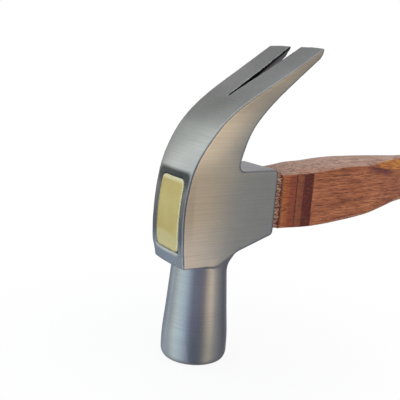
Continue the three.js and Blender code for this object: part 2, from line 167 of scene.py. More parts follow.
class SideCurve:
    """Signed distance in the X-Z plane to an open curve; positive on the curve's left.

    A coarse grid remembers the nearest curve point of each cell, so that a query only has to
    try the few segments round that point.
    """

    CELL = 1.0
    SEGMENTS_TRIED = range(-4, 4)

    def __init__(self, points, low, high):
        keep = np.r_[True, np.linalg.norm(np.diff(points, axis=0), axis=1) > 1e-6]
        self.p = points[keep]
        self.low = np.asarray(low, float)
        size = np.ceil((np.asarray(high) - self.low) / self.CELL).astype(int) + 1
        gx = self.low[0] + np.arange(size[0]) * self.CELL
        gz = self.low[1] + np.arange(size[1]) * self.CELL
        grid = np.stack(np.meshgrid(gx, gz, indexing="ij"), -1)
        best = np.full(grid.shape[:2], np.inf)
        self.near = np.zeros(grid.shape[:2], int)
        for i, q in enumerate(self.p):
            d = ((grid - q) ** 2).sum(-1)
            closer = d < best
            best[closer] = d[closer]
            self.near[closer] = i
        step = self.p[1:] - self.p[:-1]
        normal = np.stack([-step[:, 1], step[:, 0]], 1)
        normal /= np.linalg.norm(normal, axis=1)[:, None]
        joint = np.vstack([normal[:1], normal[:-1] + normal[1:], normal[-1:]])
        self.normal = joint / np.linalg.norm(joint, axis=1)[:, None]

    def __call__(self, x, z):
        shape = np.broadcast(x, z).shape
        q = np.stack([np.broadcast_to(x, shape).ravel(), np.broadcast_to(z, shape).ravel()], 1)
        cell = np.rint((q - self.low) / self.CELL).astype(int)
        cell = np.clip(cell, 0, np.array(self.near.shape) - 1)
        near = self.near[cell[:, 0], cell[:, 1]]
        best = np.full(len(q), np.inf)
        value = np.zeros(len(q))
        last = len(self.p) - 2
        for offset in self.SEGMENTS_TRIED:
            i = np.clip(near + offset, 0, last)
            a, b = self.p[i], self.p[i + 1]
            ab = b - a
            t = np.clip(((q - a) * ab).sum(1) / (ab ** 2).sum(1), 0, 1)[:, None]
            away = q - (a + ab * t)
            squared = (away ** 2).sum(1)
            closer = squared < best
            normal = self.normal[i] * (1 - t) + self.normal[i + 1] * t
            side = (away * normal).sum(1)
            signed = np.where(np.abs(side) > 1e-9, np.sign(side), 1) * np.sqrt(squared)
            value[closer] = signed[closer]
            best[closer] = squared[closer]
        return value.reshape(shape)


# ---------- distance helpers
def smooth_max(a, b, k):
    """Intersection with its edge rounded over about k millimetres."""
    h = np.maximum(k - np.abs(a - b), 0) / k
    return np.maximum(a, b) + h * h * k / 4


def smooth_min(a, b, k):
    """Union with its inner corner filled over about k millimetres."""
    return -smooth_max(-a, -b, k)


def rounded_box_2d(u, v, half_u, half_v, radius):
    """Distance to a rectangle with round corners, centred on the origin."""
    qu, qv = np.abs(u) - half_u + radius, np.abs(v) - half_v + radius
    outside = np.hypot(np.maximum(qu, 0), np.maximum(qv, 0))
    return outside + np.minimum(np.maximum(qu, qv), 0) - radius


# ---------- head shape
def outer_side_points():
    """Front of the head and outer face of the claws, from below the body to past the tip."""
    rise = catmull_rom([(-15.35, FRONT_BOTTOM), (-16.26, 50.0), (-16.66, 56.0), (-16.75, 62.0),
                        (-16.45, 68.0), (-15.75, 74.0), (-14.54, 80.0), (-12.85, 85.0),
                        (-10.45, 90.0), (-7.35, 95.0), (-3.55, 100.0), (1.6, 105.0), (8.1, 110.0),
                        (15.7, 115.0), (23.6, 120.0), (31.3, 125.0), (TIP_X, HEAD_TOP)])
    start = beyond(rise, 3, OUTLINE_OVERRUN)
    end = beyond(rise, -4, OUTLINE_OVERRUN)
    return np.vstack([line(start, rise[0])[:-1], rise, line(rise[-1], end)[1:]])


def back_side_points():
    """Underside of the claws, root, collar and underside of the body, ending past the front."""
    underside = catmull_rom([(TIP_X + TIP_LEAN, HEAD_TOP - TIP_THICKNESS), (36.8, 124.9),
                             (31.2, 120.0), (25.7, 115.0), (20.7, 110.0), (16.4, 105.0),
                             (12.7, 100.0), (10.2, 95.0), (8.9, 90.0), (8.3, 86.0)])
    root = (7.9, COLLAR_TOP)
    top_corner = (COLLAR_END, COLLAR_TOP)
    low_corner = (COLLAR_END, 53.3)
    slope_low = (11.0, 47.6)
    bottom = (1.0, BODY_BOTTOM)
    front = (-30.0, BODY_BOTTOM + 0.5)
    return np.vstack([
        line(beyond(underside, 3, OUTLINE_OVERRUN), underside[0])[:-1],
        underside,
        fillet(root, underside[-1], top_corner, 3.0),
        fillet(top_corner, root, low_corner, 1.6),
        fillet(low_corner, top_corner, slope_low, 2.2),
        fillet(slope_low, low_corner, bottom, 8.0),
        fillet(bottom, slope_low, front, 8.0),
        line((-6.0, BODY_BOTTOM + 0.1), front),
    ])


FIELD_LOW, FIELD_HIGH = (-32.0, 28.0), (58.0, 146.0)
outer_side = SideCurve(outer_side_points(), FIELD_LOW, FIELD_HIGH)
back_side = SideCurve(back_side_points(), FIELD_LOW, FIELD_HIGH)

HALF_WIDTHS = [(40.0, 11.8), (44.0, 11.85), (47.0, 12.05), (50.0, 12.2), (56.0, 12.2),
               (62.0, 12.0), (68.0, 11.95), (74.0, 12.1), (80.0, 12.35), (85.0, 12.75),
               (90.0, 13.3), (95.0, 13.9), (100.0, 14.3), (105.0, 14.8), (110.0, 15.6),
               (115.0, 16.4), (120.0, 17.0), (125.0, 17.45), (131.8, 17.65)]
RIDGE_DEPTH = 19.0
RIDGE_RISE = 0.35
RIDGE_SOFTNESS = 0.12
COLLAR_DEPTH = 45.0
EDGE_ALLOWANCE = 0.15
CHEEK_COSINE = 0.998
BELL_COSINE = 0.995


def half_width(z, depth):
    """Half width of the head: crease at the outer face, low ridge on the cheek, then a taper."""
    crease = curve_value(HALF_WIDTHS, z) + EDGE_ALLOWANCE
    settle = smoothstep(0, 30, depth) * smoothstep(92, 80, z)
    along = np.clip(depth / COLLAR_DEPTH, 0, 1.1)
    ridge_at = RIDGE_DEPTH / COLLAR_DEPTH
    roof = np.sqrt((along - ridge_at) ** 2 + RIDGE_SOFTNESS ** 2)
    ends = math.hypot(ridge_at, RIDGE_SOFTNESS)
    ridge = RIDGE_RISE * (ends - roof) / (ends - RIDGE_SOFTNESS)
    return crease * (1 - settle) + COLLAR_HALF_WIDTH * settle + ridge


def bell_distance(x, y, z):
    """Bell and neck: a cone frustum over a short barrel with a rounded striking edge."""
    edge = np.clip((FACE_ROUND_HEIGHT - z) / FACE_ROUND_HEIGHT, 0, 1)
    rounding = FACE_ROUND_WIDTH * (1 - np.sqrt(1 - edge ** 2 * 0.98))
    radius = curve_value(BELL_RADII, z) - rounding
    side = (np.hypot(x, y) - radius) * BELL_COSINE
    top = NECK_TOP_FRONT + (NECK_TOP_REAR - NECK_TOP_FRONT) * smoothstep(0, 6, x)
    return smooth_max(np.maximum(side, z - top), -z, OUTER_EDGE)


def crowned(outer, y, z, width):
    """Distance in front of the outer face once its middle is crowned; most on the front wall."""
    crown = CLAW_CROWN + (FRONT_CROWN - CLAW_CROWN) * smoothstep(100, 84, z)
    return outer - crown * (1 - np.clip(np.abs(y) / width, 0, 1.2) ** 2)


def body_distance(x, y, z):
    """Front wall, cheeks, collar and claws before the eye and slot are cut."""
    outer = outer_side(x, z)
    depth = np.maximum(-outer, 0)
    width = half_width(z, depth)
    back = back_side(x, z)
    flank = (np.abs(y) - width) * CHEEK_COSINE
    side_view = smooth_max(crowned(outer, y, z, width), back, OUTER_EDGE)
    tip_edge = 0.6 + 0.8 * smoothstep(HEAD_TOP - 1.5, HEAD_TOP - 3.0, z)
    side_view = smooth_max(side_view, tip_distance(x, z), tip_edge)
    low = smoothstep(50, 45, z) * smoothstep(-4, -9, x)
    cheek_edge = 0.6 + 0.9 * smoothstep(6, 30, depth) + low * 1.6 * (y > 0)
    return smooth_max(side_view, flank, cheek_edge)


def tip_distance(x, z):
    """Plane that ends the claws; it stops above the collar, which it would cut as well."""
    across = (x - TIP_X) * TIP_THICKNESS + (z - HEAD_TOP) * TIP_LEAN
    plane = across / math.hypot(TIP_THICKNESS, TIP_LEAN)
    return np.where(z > CLAW_ZONE_BOTTOM, plane, FAR_INSIDE)


def eye_section(x):
    """Half width, bottom and top of the tapered eye at x."""
    t = (x - EYE_FRONT_X) / (EYE_BACK_X - EYE_FRONT_X)
    return tuple(front + (back - front) * t
                 for front, back in (EYE_HALF_WIDTH, EYE_BOTTOM, EYE_TOP))


def eye_distance(x, y, z):
    """Tapered rectangular hole along X, with tighter corners at its bottom."""
    half, low, high = eye_section(x)
    corner = EYE_CORNER - 1.9 * smoothstep(64, 56, z)
    return rounded_box_2d(y, z - (low + high) / 2, half, (high - low) / 2, corner)


def bezel_distance(x, y, z):
    """Shallow bevel round the mouth of the eye, widest over its top."""
    width = 1.5 + 1.7 * smoothstep(69, 79, z) - 0.7 * smoothstep(52, 47, z)
    front = crowned(outer_side(x, z), y, z, curve_value(HALF_WIDTHS, z))
    mouth = eye_distance(x, y, z) - width * (1 + front / BEZEL_DEPTH)
    return mouth / np.sqrt(1 + (width / BEZEL_DEPTH) ** 2)


def slot_place(x, z):
    """Distances along and across the slot from its root, its length and its edge's height."""
    chord = np.array([TIP_X, HEAD_TOP]) - SLOT_APEX
    length = np.linalg.norm(chord)
    chord = chord / length
    along = (x - SLOT_APEX[0]) * chord[0] + (z - SLOT_APEX[1]) * chord[1]
    across = -(x - SLOT_APEX[0]) * chord[1] + (z - SLOT_APEX[1]) * chord[0]
    from_tip = np.clip(1 - along / length, 0, 1)
    edge = SLOT_EDGE_TIP + (SLOT_EDGE_ROOT - SLOT_EDGE_TIP) * from_tip ** 2
    return along, across, length, edge


def slot_distance(x, y, z):
    """V between the claws that opens towards their tips, with bevelled outer edges."""
    along, across, length, edge = slot_place(x, z)
    flare = math.atan(SLOT_TIP_HALF_GAP / length)
    wall = np.abs(y) * math.cos(flare) - along * math.sin(flare)
    before = along * math.cos(flare) + np.abs(y) * math.sin(flare) < 0
    wall = np.where(before, np.hypot(along, y), wall) - SLOT_ROOT_RADIUS
    bevel = (wall + outer_side(x, z) + edge) * math.sqrt(0.5)
    wall = smooth_min(wall, np.maximum(bevel, wall - SLOT_BEVEL), 0.3)
    return np.maximum(wall, np.abs(across) - SLOT_CUT_REACH)


def head_distance(x, y, z):
    """Whole forging: a crisp join of body and bell in front that flares into the collar."""
    body = body_distance(x, y, z)
    flare = smoothstep(0, 10, x) * smoothstep(12.6, 9.5, np.abs(y))
    blend = 0.6 + 0.9 * smoothstep(-9, -3, x) + 7.1 * flare
    solid = smooth_min(body, bell_distance(x, y, z), blend)
    bezel = np.where(x < 0, bezel_distance(x, y, z), FAR_OUTSIDE)
    solid = smooth_max(solid, -bezel, BEZEL_EDGE)
    solid = smooth_max(solid, -eye_distance(x, y, z), EYE_EDGE)
    return smooth_max(solid, -slot_distance(x, y, z), SLOT_EDGE)


# ---------- surface from distance
CELL_CORNERS = [(i, j, k) for i in (0, 1) for j in (0, 1) for k in (0, 1)]


def at_corner(grid, corner):
    """Values of a grid at the same corner of each of its cells."""
    return grid[tuple(slice(c, c + n - 1) for c, n in zip(corner, grid.shape))]


def cell_points(f):
    """A point in every cell that the zero level crosses, and the number of each such cell."""
    count = sum(at_corner(f < 0, corner).astype(np.int8) for corner in CELL_CORNERS)
    active = (count > 0) & (count < len(CELL_CORNERS))
    cells = np.argwhere(active)
    index = np.full(active.shape, -1, np.int64)
    index[active] = np.arange(len(cells))
    total, hits = np.zeros((len(cells), 3)), np.zeros(len(cells))
    for a in CELL_CORNERS:
        for axis in range(3):
            if a[axis]:
                continue
            b = tuple(1 if n == axis else v for n, v in enumerate(a))
            fa, fb = at_corner(f, a)[active], at_corner(f, b)[active]
            cross = (fa < 0) != (fb < 0)
            point = np.tile(np.array(a, float), (len(cells), 1))
            point[:, axis] = np.where(cross, fa / np.where(cross, fa - fb, 1), 0)
            total[cross] += point[cross]
            hits += cross
    return cells + total / hits[:, None], index


def cell_quads(inside, index):
    """A quad between the four cells round every grid edge that is crossed, facing outwards."""
    quads = []
    for axis in range(3):
        u, v = [n for n in range(3) if n != axis]
        here, there = [slice(None)] * 3, [slice(None)] * 3
        here[axis], there[axis] = slice(0, -1), slice(1, None)
        edges = np.argwhere(inside[tuple(here)] != inside[tuple(there)])
        edges = edges[(edges[:, u] > 0) & (edges[:, v] > 0)
                      & (edges[:, u] < index.shape[u]) & (edges[:, v] < index.shape[v])]
        ring = []
        for du, dv in ((-1, -1), (0, -1), (0, 0), (-1, 0)):
            cell = edges.copy()
            cell[:, u] += du
            cell[:, v] += dv
            ring.append(index[tuple(cell.T)])
        ring = np.stack(ring, 1)
        outward = inside[tuple(edges.T)]
        if axis == 1:
            outward = ~outward
        ring[~outward] = ring[~outward][:, ::-1]
        quads.append(ring)
    return np.vstack(quads)


def surface_net(distance, low, high, step):
    """Points and quads round the zero level of a distance function sampled on a grid."""
    axes = [np.arange(l, h + step, step) for l, h in zip(low, high)]
    f = distance(*np.ix_(*axes)).astype(np.float32)
    points, index = cell_points(f)
    return points * step + np.array([a[0] for a in axes]), cell_quads(f < 0, index)


def gradient(distance, p, h=0.06):
    """Central differences of a distance function at the points p."""
    g = np.empty_like(p)
    for axis in range(3):
        e = np.zeros(3)
        e[axis] = h
        ahead, behind = p + e, p - e
        g[:, axis] = (distance(*ahead.T) - distance(*behind.T)) / (2 * h)
    return g


SHALLOWEST_SLOPE = 0.2


def settle_on_surface(distance, verts, quads, rounds=4, ease=0.6):
    """Evens out the quads along the surface and puts every vertex exactly on it."""
    edges = np.vstack([quads[:, [0, 1]], quads[:, [1, 2]], quads[:, [2, 3]], quads[:, [3, 0]]])
    degree = np.bincount(edges[:, 0], minlength=len(verts)).astype(float)
    for turn in range(rounds):
        if turn < rounds - 1:
            mean = np.zeros_like(verts)
            for axis in range(3):
                mean[:, axis] = np.bincount(edges[:, 0], verts[edges[:, 1], axis], len(verts))
            mean /= degree[:, None]
            verts = verts + ease * (mean - verts)
        for _ in range(2):
            g = gradient(distance, verts)
            step = distance(*verts.T) / np.maximum((g ** 2).sum(1), SHALLOWEST_SLOPE)
            verts = verts - g * step[:, None]
    return verts


def mesh_object(name, verts_mm, faces):
    """Smooth-shaded object from points in millimetres and faces of any size."""
    mesh = bpy.data.meshes.new(name)
    mesh.vertices.add(len(verts_mm))
    mesh.vertices.foreach_set("co", (np.asarray(verts_mm) * MM).astype(np.float32).ravel())
    loops = np.concatenate([np.asarray(f) for f in faces])
    sizes = np.array([len(f) for f in faces])
    mesh.loops.add(len(loops))
    mesh.loops.foreach_set("vertex_index", loops.astype(np.int32))
    mesh.polygons.add(len(sizes))
    mesh.polygons.foreach_set("loop_start", np.r_[0, np.cumsum(sizes)[:-1]].astype(np.int32))
    mesh.polygons.foreach_set("use_smooth", np.full(len(sizes), True))
    mesh.update(calc_edges=True)
    mesh.validate()
    piece = bpy.data.objects.new(name, mesh)
    bpy.context.scene.collection.objects.link(piece)
    return piece


# Height against the depth behind the front edge where the painted warm reflection on the cheeks
# starts and stops fading.
PAINTED_REFLECTION_START = [(40, 3), (80, 6), (90, 3), (131, 1)]
PAINTED_REFLECTION_END = [(40, 28), (80, 32), (90, 18), (100, 13), (120, 8), (131, 6)]
GRID_MARGIN = 1.6
SLOT_ZONE_HALF_WIDTH, SLOT_ZONE_BOTTOM = 6.0, 100.0
SLOT_SHADE_FADE = (-0.45, 0.05)


def painted_light_mask(x, y, z):
    """1 where the cheeks carry their painted warm reflection behind the front edge, and on the
    outer edge of the slot, where its painted shade is darkest; 0 behind both.
    """
    depth = -outer_side(x, z)
    start = np.interp(z, *np.array(PAINTED_REFLECTION_START).T)
    end = np.interp(z, *np.array(PAINTED_REFLECTION_END).T)
    cheek = 1 - smoothstep(start, end, depth)
    edge = slot_place(x, z)[3]
    slot = 1 - smoothstep(edge + SLOT_SHADE_FADE[0], edge + SLOT_SHADE_FADE[1], depth)
    in_slot = (np.abs(y) < SLOT_ZONE_HALF_WIDTH) & (z > SLOT_ZONE_BOTTOM)
    return np.where(in_slot, slot, cheek)


def build_head():
    """Forging as one closed surface, with the mask of its painted reflection and painted slot
    shade stored at every vertex.
    """
    low, high = HEAD_LOW - GRID_MARGIN, HEAD_HIGH + GRID_MARGIN
    verts, quads = surface_net(head_distance, low, high, GRID_STEP)
    verts = settle_on_surface(head_distance, verts, quads)
    head = mesh_object("steel_head", verts, list(quads))
    painted_light = head.data.attributes.new("painted_light", "FLOAT", "POINT")
    painted_light.data.foreach_set("value", painted_light_mask(*verts.T).astype(np.float32))
    return head


# ---------- handle shape
SHOULDER_X = 29.2
SHOULDER_EDGE_X = 32.2
TORN_END_X = 35.0
BUTT_X = HANDLE_HIGH[0]
BUTT_ROUNDING = 7.0
BUTT_TURN = 1.35
BUTT_DOME = 0.6
TENON_CLEARANCE = 0.25
TENON_CHAMFER = 1.6
RIPPLE_HEIGHT = 0.07
HANDLE_TOP = [(33, 78.5), (43, 78.6), (51, 78.75), (60, 79.4), (69, 80.05), (77, 80.5),
              (88, 80.9), (97, 81.5), (106, 82.6), (116, 82.8), (128, 82.6), (170, 82.0),
              (225, 82.5), (275, 85.0), (314, 88.0)]
HANDLE_BOTTOM = [(33, 55.2), (51, 55.1), (56, 55.55), (61, 56.1), (66, 56.75), (71, 57.35),
                 (76, 57.9), (81, 58.4), (85.7, 58.8), (90.8, 59.55), (96, 60.4),
                 (101.3, 61.1), (107, 61.8), (118, 62.5), (130, 62.5), (150, 61.2),
                 (170, 59.2), (225, 54.0), (275, 55.0), (300, 56.5), (314, 57.0)]
HANDLE_HALF_WIDTH = [(33, 10.0), (60, 10.0), (95, 9.4), (128, 8.7), (170, 10.4), (225, 12.2),
                     (275, 12.4), (314, 13.6)]
TOP_CHAMFER = [(33, 0.5), (86, 0.5), (97, 2.6), (106, 4.2), (128, 5.0), (170, 6.2), (225, 7.2),
               (275, 7.4), (314, 7.8)]
BOTTOM_CHAMFER = [(33, 0.5), (97, 0.6), (110, 3.4), (128, 5.0), (170, 6.2), (225, 7.2), (275, 7.4),
                  (314, 7.8)]
TOP_CROWN = [(33, 1.4), (38, 2.4), (43, 3.4), (51, 3.7), (69, 3.8), (77, 3.55), (88, 3.15),
             (97, 2.45), (106, 1.1), (128, 1.2), (225, 1.4), (314, 1.4)]
BOTTOM_CROWN = 0.3
TENON_END_X = HANDLE_LOW[0]
SIDE_POINTS, FLAT_POINTS, CHAMFER_POINTS = 46, 36, 8
TENON_RINGS, GRIP_RINGS, BUTT_RINGS = 16, 70, 8
TORN_RING_GAP, THROAT_RING_GAP = 0.3, 1.2
THROAT_START_X, GRIP_START_X = 34.6, 112.5


def section(top, bottom, half, chamfers, crown):
    """Closed ring of (y, z): crowned top, nearly flat bottom, flat sides and four chamfers."""
    ring = []
    above, below = chamfers
    for sign, edge, rise, near, far in ((1, top, crown, above, below),
                                        (-1, bottom, BOTTOM_CROWN, below, above)):
        t = np.linspace(1, -1, FLAT_POINTS) * sign
        flat = np.stack([t * (half - near), edge + sign * rise * (1 - t ** 2)], 1)
        corner = np.array([-sign * half, edge - sign * near])
        slope = np.linspace(0, 1, CHAMFER_POINTS + 1, endpoint=False)[1:, None]
        cut = flat[-1] + (corner - flat[-1]) * slope
        opposite = (bottom if sign > 0 else top) + sign * far
        drop = np.linspace(0, 1, SIDE_POINTS)[:, None]
        side = corner + (np.array([corner[0], opposite]) - corner) * drop
        start = side[-1]
        finish = np.array([-sign * (half - far), bottom if sign > 0 else top])
        ring += [flat, cut, side, start + (finish - start) * slope]
    return np.vstack(ring)


def soften(ring, passes):
    """Rounds the corners of a closed ring a little with each pass."""
    for _ in range(passes):
        ring = 0.5 * ring + 0.25 * (np.roll(ring, 1, 0) + np.roll(ring, -1, 0))
    return ring


HASH_X, HASH_Y, HASH_Z, HASH_MIX = 374761393, 668265263, 2147483647, 1274126177
WORD = 0xFFFFFFFF


def value_noise(points, seed):
    """Smooth noise in -1..1 at 3-D points, from hashed lattice corners."""
    base = np.floor(points).astype(np.int64)
    t = points - base
    t = t * t * (3 - 2 * t)
    total = 0.0
    for i, j, k in CELL_CORNERS:
        n = (base[:, 0] + i) * HASH_X + (base[:, 1] + j) * HASH_Y
        n = (n + (base[:, 2] + k) * HASH_Z + seed * HASH_MIX) & WORD
        n = ((n ^ (n >> 13)) * HASH_MIX) & WORD
        value = ((n ^ (n >> 16)) & 0xFFFF) / 32767.5 - 1
        weight = (np.where(i, t[:, 0], 1 - t[:, 0]) * np.where(j, t[:, 1], 1 - t[:, 1])
                  * np.where(k, t[:, 2], 1 - t[:, 2]))
        total = total + value * weight
    return total


def wood_ring(x):
    """Section of the shaped wood outside the eye."""
    top, bottom, half, above, below, crown = (
        float(curve_value(table, x)) for table in
        (HANDLE_TOP, HANDLE_BOTTOM, HANDLE_HALF_WIDTH, TOP_CHAMFER, BOTTOM_CHAMFER, TOP_CROWN))
    return soften(section(top, bottom, half, (above, below), crown), 2)


def tenon_ring(x):
    """Section of the wood inside the eye, with as many points as the shaped section."""
    half, low, high = eye_section(x)
    chamfers = (TENON_CHAMFER, TENON_CHAMFER)
    return soften(section(high - TENON_CLEARANCE, low + TENON_CLEARANCE,
                          half - TENON_CLEARANCE, chamfers, 0.0), 4)


def placed(x, ring):
    """Ring of (y, z) as points at x."""
    return np.c_[np.full(len(ring), x), ring]


def torn_depth(x, ring):
    """How far the fibres between the collar and the shaped wood are torn back, in millimetres."""
    around = placed(0.0, ring / 1.1)
    edge = SHOULDER_EDGE_X + 0.75 * value_noise(around, 3) + 0.35 * value_noise(around * 2.7, 5)
    teeth = value_noise(placed(x / 2.2, ring / 0.75), 9)
    strip = 1 - smoothstep(edge - 0.25, edge + 0.15, x)
    return strip * (0.45 + 0.28 * teeth)


def torn_ring(x):
    """Section of the wood next to the collar, with its fibres torn back."""
    ring = wood_ring(x)
    away = ring - ring.mean(0)
    away /= np.linalg.norm(away, axis=1)[:, None]
    return ring - away * torn_depth(x, ring)[:, None]


def butt_rings():
    """Sections that shrink along the rounded edge of the butt."""
    ring = wood_ring(BUTT_X - BUTT_ROUNDING)
    centre = ring.mean(0)
    away = ring - centre
    reach = np.linalg.norm(away, axis=1)[:, None]
    rings = []
    for turn in np.linspace(0, BUTT_TURN, BUTT_RINGS + 1)[1:]:
        x = BUTT_X - BUTT_ROUNDING + BUTT_ROUNDING * math.sin(turn) / math.sin(BUTT_TURN)
        inset = np.minimum(BUTT_ROUNDING * (1 - math.cos(turn)), reach * 0.98)
        rings.append(placed(x, centre + away * (1 - inset / reach)))
    return rings


def rippled(rings):
    """All points of the rings, with the faint waves of worked wood outside the collar."""
    verts = np.vstack(rings)
    centre = np.vstack([np.tile(r.mean(0), (len(r), 1)) for r in rings])
    away = verts - centre
    away[:, 0] = 0
    away /= np.maximum(np.linalg.norm(away, axis=1), 1e-6)[:, None]
    ripple = value_noise(verts / np.array([16.0, 3.2, 3.2]), 21)
    outside = smoothstep(34, 40, verts[:, 0])
    return verts + away * (RIPPLE_HEIGHT * ripple * outside)[:, None]


def build_handle():
    """Tenon, shoulder, throat, grip and rounded butt as one closed skin of rings."""
    tenon_x = np.linspace(TENON_END_X, SHOULDER_X - 0.2, TENON_RINGS)
    shaped_x = np.r_[np.arange(SHOULDER_X, THROAT_START_X - 0.2, TORN_RING_GAP),
                     np.arange(THROAT_START_X, GRIP_START_X - 0.5, THROAT_RING_GAP),
                     np.linspace(GRIP_START_X, BUTT_X - BUTT_ROUNDING, GRIP_RINGS)]
    rings = [placed(x, tenon_ring(x)) for x in tenon_x]
    rings += [placed(x, torn_ring(x) if x < TORN_END_X else wood_ring(x)) for x in shaped_x]
    rings += butt_rings()
    count, last = len(rings[0]), (len(rings) - 1) * len(rings[0])
    i, j = np.arange(count), np.roll(np.arange(count), -1)
    faces = []
    for start in range(0, last, count):
        faces += list(np.stack([i, j, j + count, i + count], 1) + start)
    verts = rippled(rings)
    first_centre, last_centre = len(verts), len(verts) + 1
    verts = np.vstack([verts, rings[0].mean(0), rings[-1].mean(0) + [BUTT_DOME, 0, 0]])
    faces += [np.array([first_centre, b, a]) for a, b in zip(i, j)]
    faces += [np.array([last_centre, a, b]) for a, b in zip(i + last, j + last)]
    return mesh_object("wood_handle", verts, faces)


# ---------- resin
RESIN_FACE = [(48.0, -15.9), (56.0, -16.5), (62.0, -16.55), (70.0, -16.0), (78.0, -14.9)]
RESIN_BOTTOM, RESIN_TOP = EYE_BOTTOM[0] + 0.3, EYE_TOP[0] + 0.1
RESIN_HALF_WIDTH = EYE_HALF_WIDTH[0] + 0.05
RESIN_COLUMNS, RESIN_ROWS = 36, 60
RESIN_CORNER_POWER = 10


def resin_grid():
    """Grid over the plug: rows of (u, v), -1..1, with v growing from row to row."""
    u = -1 + 2 * np.arange(RESIN_COLUMNS + 1) / RESIN_COLUMNS
    v = -1 + 2 * np.arange(RESIN_ROWS + 1) / RESIN_ROWS
    return tuple(n.ravel() for n in np.meshgrid(u, v))


def squeezed(u, v):
    """Factor that pulls a square grid in to round corners."""
    reach = np.maximum(np.abs(u), np.abs(v))
    power = RESIN_CORNER_POWER
    rounded = (np.abs(u) ** power + np.abs(v) ** power) ** (1 / power)
    return np.where(reach > 0, reach / np.maximum(rounded, 1e-9), 1.0)


def build_resin():
    """Poured plug: a grid over the eye that follows the front, with a meniscus at its rim."""
    u, v = resin_grid()
    squeeze = squeezed(u, v)
    y = u * squeeze * RESIN_HALF_WIDTH
    z = (RESIN_BOTTOM + RESIN_TOP) / 2 + v * squeeze * (RESIN_TOP - RESIN_BOTTOM) / 2
    from_rim = (1 - np.maximum(np.abs(u), np.abs(v))) * RESIN_HALF_WIDTH
    sag = 0.28 * (1 - smoothstep(0, 1.6, from_rim)) - 0.12 * (1 - (u ** 2 + v ** 2) / 2)
    wave = 0.05 * value_noise(np.stack([y / 3.0, z / 3.5, np.full(len(z), 2.0)], 1), 31)
    front = np.stack([curve_value(RESIN_FACE, z) - sag + wave, y, z], 1)
    back = np.stack([np.full(len(z), RESIN_BACK_X), y, z], 1)
    return mesh_object("resin_plug", np.vstack([front, back]), plug_faces(len(z)))


def plug_faces(n):
    """Front and back skins of n points each, and the wall that joins their rims."""
    index = np.arange(n).reshape(RESIN_ROWS + 1, RESIN_COLUMNS + 1)
    a, b = index[:-1, :-1].ravel(), index[:-1, 1:].ravel()
    c, d = index[1:, 1:].ravel(), index[1:, :-1].ravel()
    faces = [*np.stack([a, d, c, b], 1), *(np.stack([a, b, c, d], 1) + n)]
    rim = np.r_[index[0, :-1], index[:-1, -1], index[-1, :0:-1], index[:0:-1, 0]]
    ahead = np.roll(rim, -1)
    return faces + list(np.stack([rim, ahead, ahead + n, rim + n], 1))


# ---------- material helpers
class Graph:
    """Short calls for building a node tree; places are in millimetres.

    A value passed to any of them may be a plain number, a colour or another node's socket.
    """

    def __init__(self, tree):
        self.tree = tree

    def add(self, kind, **settings):
        """New node with its properties set."""
        node = self.tree.nodes.new(kind)
        for key, value in settings.items():
            setattr(node, key, value)
        return node

    def feed(self, socket, value):
        """Links a socket into an input, or sets the input's own value."""
        if isinstance(value, bpy.types.NodeSocket):
            self.tree.links.new(value, socket)
        elif value is not None:
            socket.default_value = value

    def noise(self, per_mm, detail=3.0, rough=0.55, warp=0.0):
        """Noise over the object, with its own frequency per millimetre along each axis."""
        scaled = self.add("ShaderNodeVectorMath", operation="MULTIPLY")
        self.feed(scaled.inputs[0], self.place)
        scaled.inputs[1].default_value = [s / MM for s in per_mm]
        node = self.add("ShaderNodeTexNoise")
        self.feed(node.inputs["Vector"], scaled.outputs[0])
        node.inputs["Scale"].default_value = 1.0
        node.inputs["Detail"].default_value = detail
        node.inputs["Roughness"].default_value = rough
        node.inputs["Distortion"].default_value = warp
        return node.outputs["Fac"]

    def math(self, operation, a, b=None, c=None):
        """Result of one arithmetic node."""
        node = self.add("ShaderNodeMath", operation=operation)
        for socket, value in zip(node.inputs, (a, b, c)):
            self.feed(socket, value)
        return node.outputs[0]

    def band(self, value, low, high, out_low=0.0, out_high=1.0, smooth=True):
        """Value mapped from low..high to the two outputs, and held beyond them."""
        kind = "SMOOTHSTEP" if smooth else "LINEAR"
        node = self.add("ShaderNodeMapRange", interpolation_type=kind)
        for key, v in (("Value", value), ("From Min", low), ("From Max", high),
                       ("To Min", out_low), ("To Max", out_high)):
            self.feed(node.inputs[key], v)
        return node.outputs["Result"]

    def product(self, *factors):
        """All the given values multiplied together."""
        result = factors[0]
        for factor in factors[1:]:
            result = self.math("MULTIPLY", result, factor)
        return result

    def mix(self, factor, a, b, blend="MIX"):
        """Colour a blended towards b, or towards a times b for MULTIPLY."""
        node = self.add("ShaderNodeMix", data_type="RGBA", blend_type=blend)
        self.feed(node.inputs["Factor"], factor)
        self.feed(node.inputs[6], rgba(a))
        self.feed(node.inputs[7], rgba(b))
        return node.outputs[2]

    def axis(self, name, vector=None):
        """One component of a vector, or of the place on the object in millimetres."""
        node = self.add("ShaderNodeSeparateXYZ")
        self.feed(node.inputs[0], self.place if vector is None else vector)
        out = node.outputs[name]
        return self.math("DIVIDE", out, MM) if vector is None else out

    def facing(self, name):
        """Component of the surface's own normal."""
        return self.axis(name, self.add("ShaderNodeNewGeometry").outputs["True Normal"])

    def bump(self, height, distance_mm, strength):
        """Normal that follows a height map."""
        node = self.add("ShaderNodeBump")
        node.inputs["Distance"].default_value = distance_mm * MM
        node.inputs["Strength"].default_value = strength
        self.feed(node.inputs["Height"], height)
        return node.outputs[0]


class MaterialGraph(Graph):
    """Node tree of a new material with its main shader."""

    def __init__(self, name):
        self.material = bpy.data.materials.new(name)
        self.material.use_nodes = True
        super().__init__(self.material.node_tree)
        self.shader = self.tree.nodes["Principled BSDF"]
        self.place = self.add("ShaderNodeTexCoord").outputs["Object"]

    def set(self, **values):
        """Feeds shader inputs; an underscore in a name stands for a space."""
        for key, value in values.items():
            self.feed(self.shader.inputs[key.replace("_", " ")], value)


def rgba(value):
    """Socket as it is; plain colour with its alpha added."""
    if isinstance(value, bpy.types.NodeSocket):
        return value
    return (*value, 1.0)


